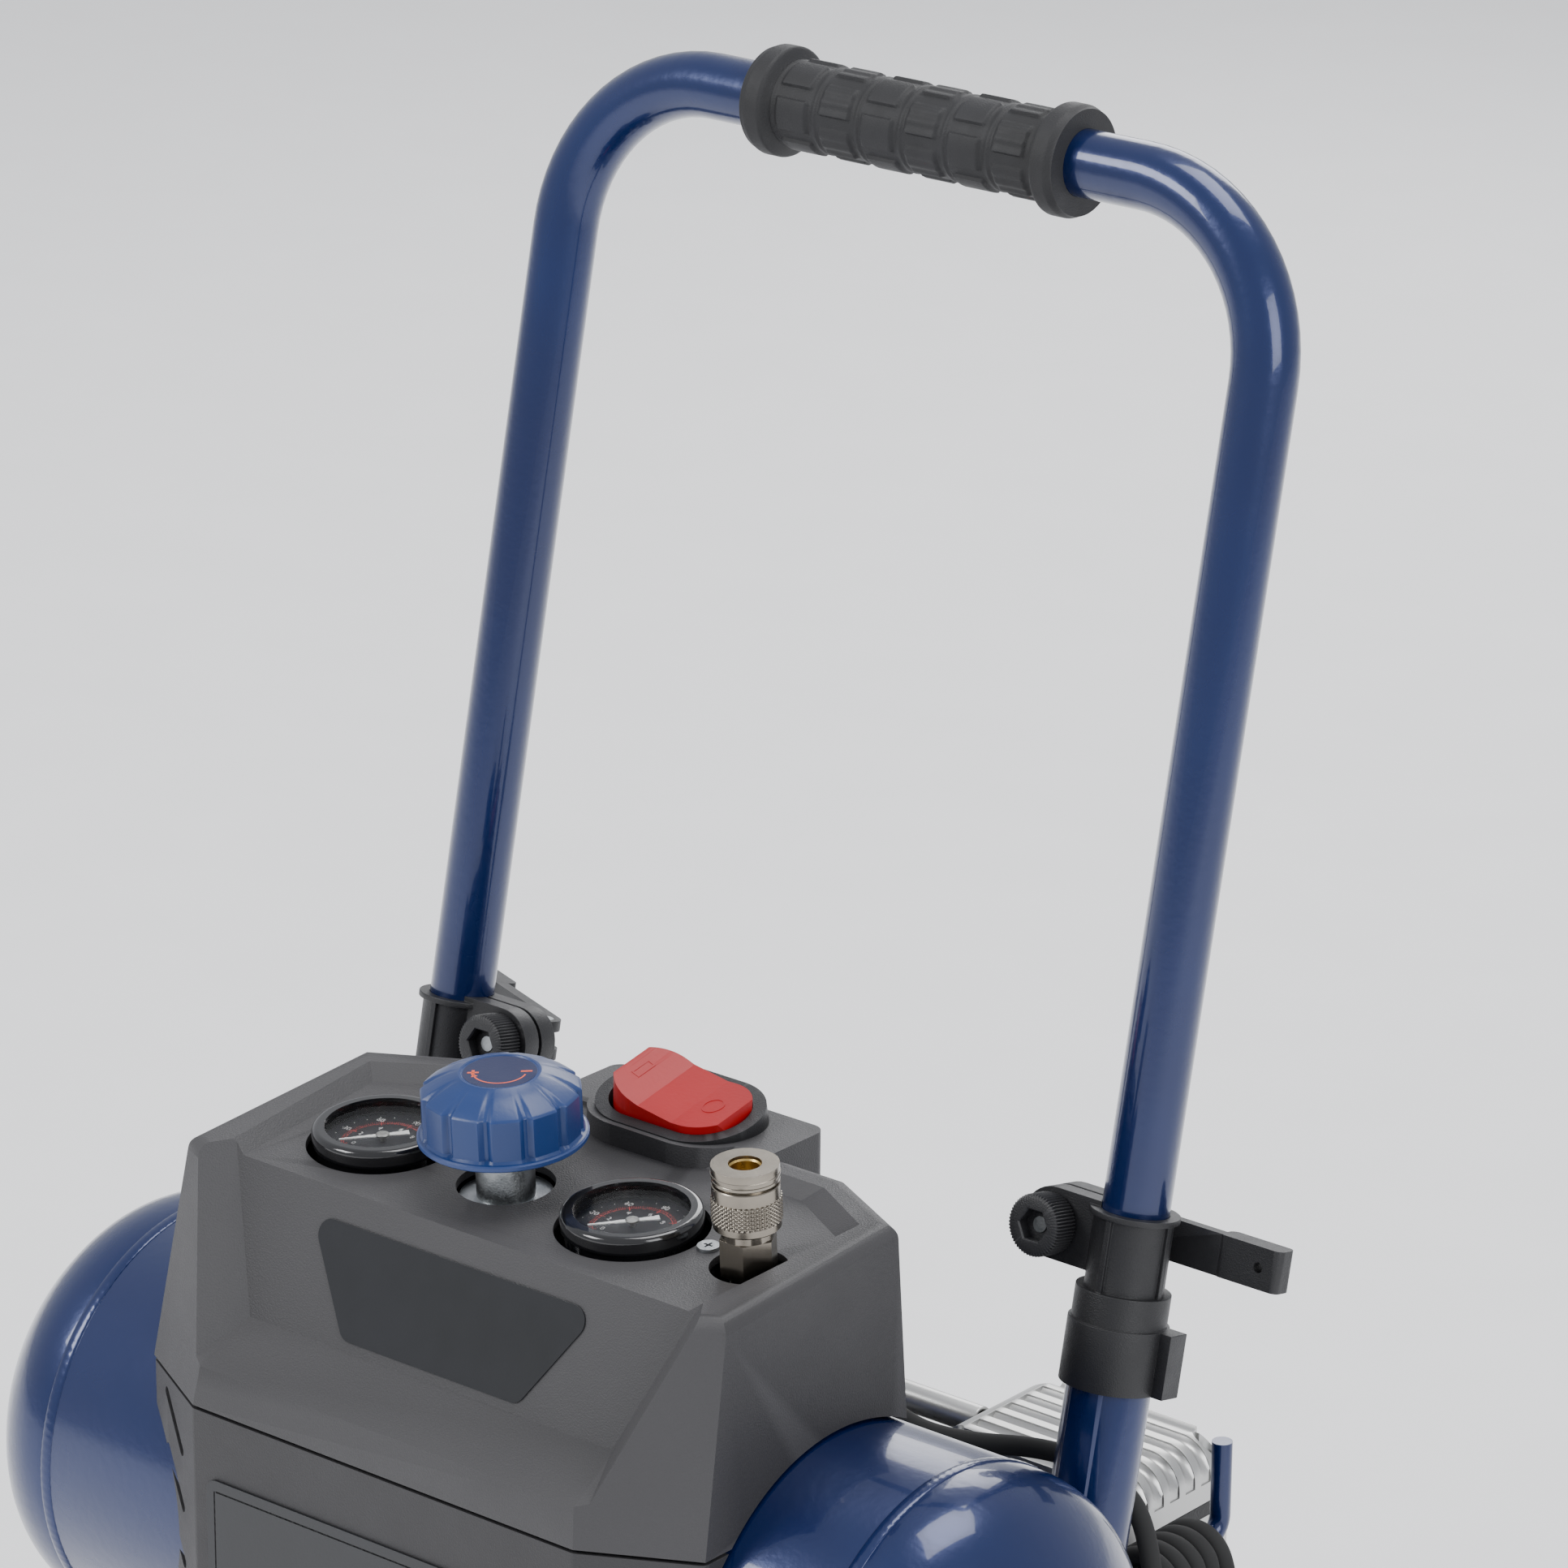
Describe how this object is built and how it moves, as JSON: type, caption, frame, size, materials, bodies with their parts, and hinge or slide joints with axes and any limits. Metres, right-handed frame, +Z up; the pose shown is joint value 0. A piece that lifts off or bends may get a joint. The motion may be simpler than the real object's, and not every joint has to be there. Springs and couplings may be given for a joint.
{
  "type": "air compressor",
  "caption": "Wheeled portable air compressor with a horizontal tank, hooded control panel, gauges, regulator knob, quick coupler, rocker switch and a telescoping U handle.",
  "frame": {"origin": "on the floor, at the centre of the overall box seen from above", "axes": "+X along the tank and the wheel axle, -Y towards the control panel's front, +Z up"},
  "size_m": [0.5, 0.392, 0.7516],
  "materials": {
    "blue_paint": "deep metallic blue gloss paint",
    "black_steel": "black powder coat",
    "hood_plastic": "fine textured dark warm grey",
    "label_film": "smooth printed film",
    "black_plastic": "moulded black nylon",
    "grip_rubber": "soft black rubber",
    "tyre": "solid black rubber",
    "hub_plastic": "moulded dark grey",
    "zinc_steel": "zinc plated",
    "nickel": "bright nickel plate",
    "brass": "machined brass",
    "cast_aluminium": "die cast",
    "valve_plate_black": "black steel plate",
    "gloss_black": "gloss black bezel",
    "dial_print": "dark printed dial",
    "lens": "clear lens",
    "pointer_white": "white pointer",
    "knob_blue": "blue moulded knob",
    "rocker_red": "red moulded rocker",
    "lamination": "stacked steel laminations",
    "cord_sheath": "black rubber sheath"
  },
  "bodies": {
    "chassis": {"tank_shell": "blue_paint", "tank_end_caps": "blue_paint", "tank_legs": "blue_paint", "base_tray": "black_steel", "rubber_feet": "grip_rubber", "wheel_bolts": "zinc_steel", "handle_posts": "blue_paint", "cord_hooks": "blue_paint", "clamp_bodies": "black_plastic", "clamp_screws": "zinc_steel", "hood": "hood_plastic", "front_cover": "hood_plastic", "cover_screws": "zinc_steel", "face_plates": "label_film", "manifold": "cast_aluminium", "gauge_cases": "gloss_black", "gauge_dials": "dial_print", "gauge_lenses": "lens", "regulator_body": "cast_aluminium", "regulator_bonnet": "zinc_steel", "coupler_body": "nickel", "pressure_switch": "black_plastic", "switch_bezel": "black_plastic", "motor_housing": "black_steel", "stator": "lamination", "crankcases": "black_steel", "fan_shrouds": "black_plastic", "cylinders": "cast_aluminium", "pistons": "cast_aluminium", "valve_plates": "valve_plate_black", "cylinder_heads": "cast_aluminium", "head_bolts": "zinc_steel", "air_tubes": "cast_aluminium", "check_valve": "brass", "safety_valve": "brass", "drain_valve": "brass", "vibration_mounts": "grip_rubber", "intake_filters": "black_plastic", "power_cord": "cord_sheath", "power_cord_hank": "cord_sheath", "power_plug": "cord_sheath"},
    "handle": {"handle_tube": "blue_paint", "handle_grip": "grip_rubber"},
    "left_nut": {"clamp_nut_left": "black_plastic"},
    "right_nut": {"clamp_nut_right": "black_plastic"},
    "left_lever": {"clamp_lever_left": "black_plastic"},
    "right_lever": {"clamp_lever_right": "black_plastic"},
    "knob": {"regulator_knob": "knob_blue"},
    "tank_pointer": {"tank_needle": "pointer_white"},
    "tool_pointer": {"tool_needle": "pointer_white"},
    "sleeve": {"coupler_sleeve": "nickel"},
    "switch_rocker": {"rocker": "rocker_red"},
    "relief_ring": {"safety_ring": "zinc_steel"},
    "drain_grip": {"drain_knob": "black_plastic"},
    "left_wheel": {"wheel_hub_left": "hub_plastic", "tyre_left": "tyre"},
    "right_wheel": {"wheel_hub_right": "hub_plastic", "tyre_right": "tyre"},
    "shaft": {"rotor": "zinc_steel", "cooling_fans": "black_plastic"}
  },
  "joints": [
    {"name": "handle_slide", "type": "slide", "parent": "chassis", "child": "handle", "axis": [0, 0.2088, 0.978], "range_m": [-0.2, 0]},
    {"name": "right_lever_pivot", "type": "hinge", "parent": "chassis", "child": "right_lever", "pos_m": [0.13685, 0.04576, 0.34338], "axis": [0, 0.2088, 0.978], "range_deg": [0, 110]},
    {"name": "left_lever_pivot", "type": "hinge", "parent": "chassis", "child": "left_lever", "pos_m": [-0.13685, 0.04576, 0.34338], "axis": [0, 0.2088, 0.978], "range_deg": [-83, 27]},
    {"name": "right_nut_turn", "type": "hinge", "parent": "chassis", "child": "right_nut", "pos_m": [0.13685, 0.03178, 0.35455], "axis": [0, 0.978, -0.2088], "range_deg": [-180, 180]},
    {"name": "left_nut_turn", "type": "hinge", "parent": "chassis", "child": "left_nut", "pos_m": [-0.13685, 0.03178, 0.35455], "axis": [0, 0.978, -0.2088], "range_deg": [-180, 180]},
    {"name": "knob_turn", "type": "hinge", "parent": "chassis", "child": "knob", "pos_m": [-0.0134, -0.1104, 0.3736], "axis": [0, 0.0624, -0.998], "range_deg": [0, 720]},
    {"name": "tank_pointer_turn", "type": "hinge", "parent": "chassis", "child": "tank_pointer", "pos_m": [-0.0749, -0.1104, 0.3736], "axis": [0, 0.0624, -0.998], "range_deg": [0, 270]},
    {"name": "tool_pointer_turn", "type": "hinge", "parent": "chassis", "child": "tool_pointer", "pos_m": [0.0481, -0.1104, 0.3736], "axis": [0, 0.0624, -0.998], "range_deg": [0, 270]},
    {"name": "sleeve_slide", "type": "slide", "parent": "chassis", "child": "sleeve", "axis": [0, -0.0624, 0.998], "range_m": [-0.0033, 0], "stiffness_N_per_m": 900},
    {"name": "rocker_tip", "type": "hinge", "parent": "chassis", "child": "switch_rocker", "pos_m": [0.0097, -0.03786, 0.38391], "axis": [0, -0.9816, -0.1908], "range_deg": [0, 20]},
    {"name": "relief_pull", "type": "slide", "parent": "chassis", "child": "relief_ring", "axis": [0, 0.9397, 0.342], "range_m": [0, 0.003], "stiffness_N_per_m": 800},
    {"name": "drain_turn", "type": "hinge", "parent": "chassis", "child": "drain_grip", "pos_m": [0.15, -0.0975, 0.1259], "axis": [1, 0, 0], "range_deg": [0, 720]},
    {"name": "left_wheel_spin", "type": "hinge", "parent": "chassis", "child": "left_wheel", "pos_m": [-0.219, 0.107, 0.089], "axis": [1, 0, 0], "continuous": true},
    {"name": "right_wheel_spin", "type": "hinge", "parent": "chassis", "child": "right_wheel", "pos_m": [0.219, 0.107, 0.089], "axis": [1, 0, 0], "continuous": true},
    {"name": "shaft_spin", "type": "hinge", "parent": "chassis", "child": "shaft", "pos_m": [0, 0.095, 0.114], "axis": [1, 0, 0], "continuous": true}
  ]
}
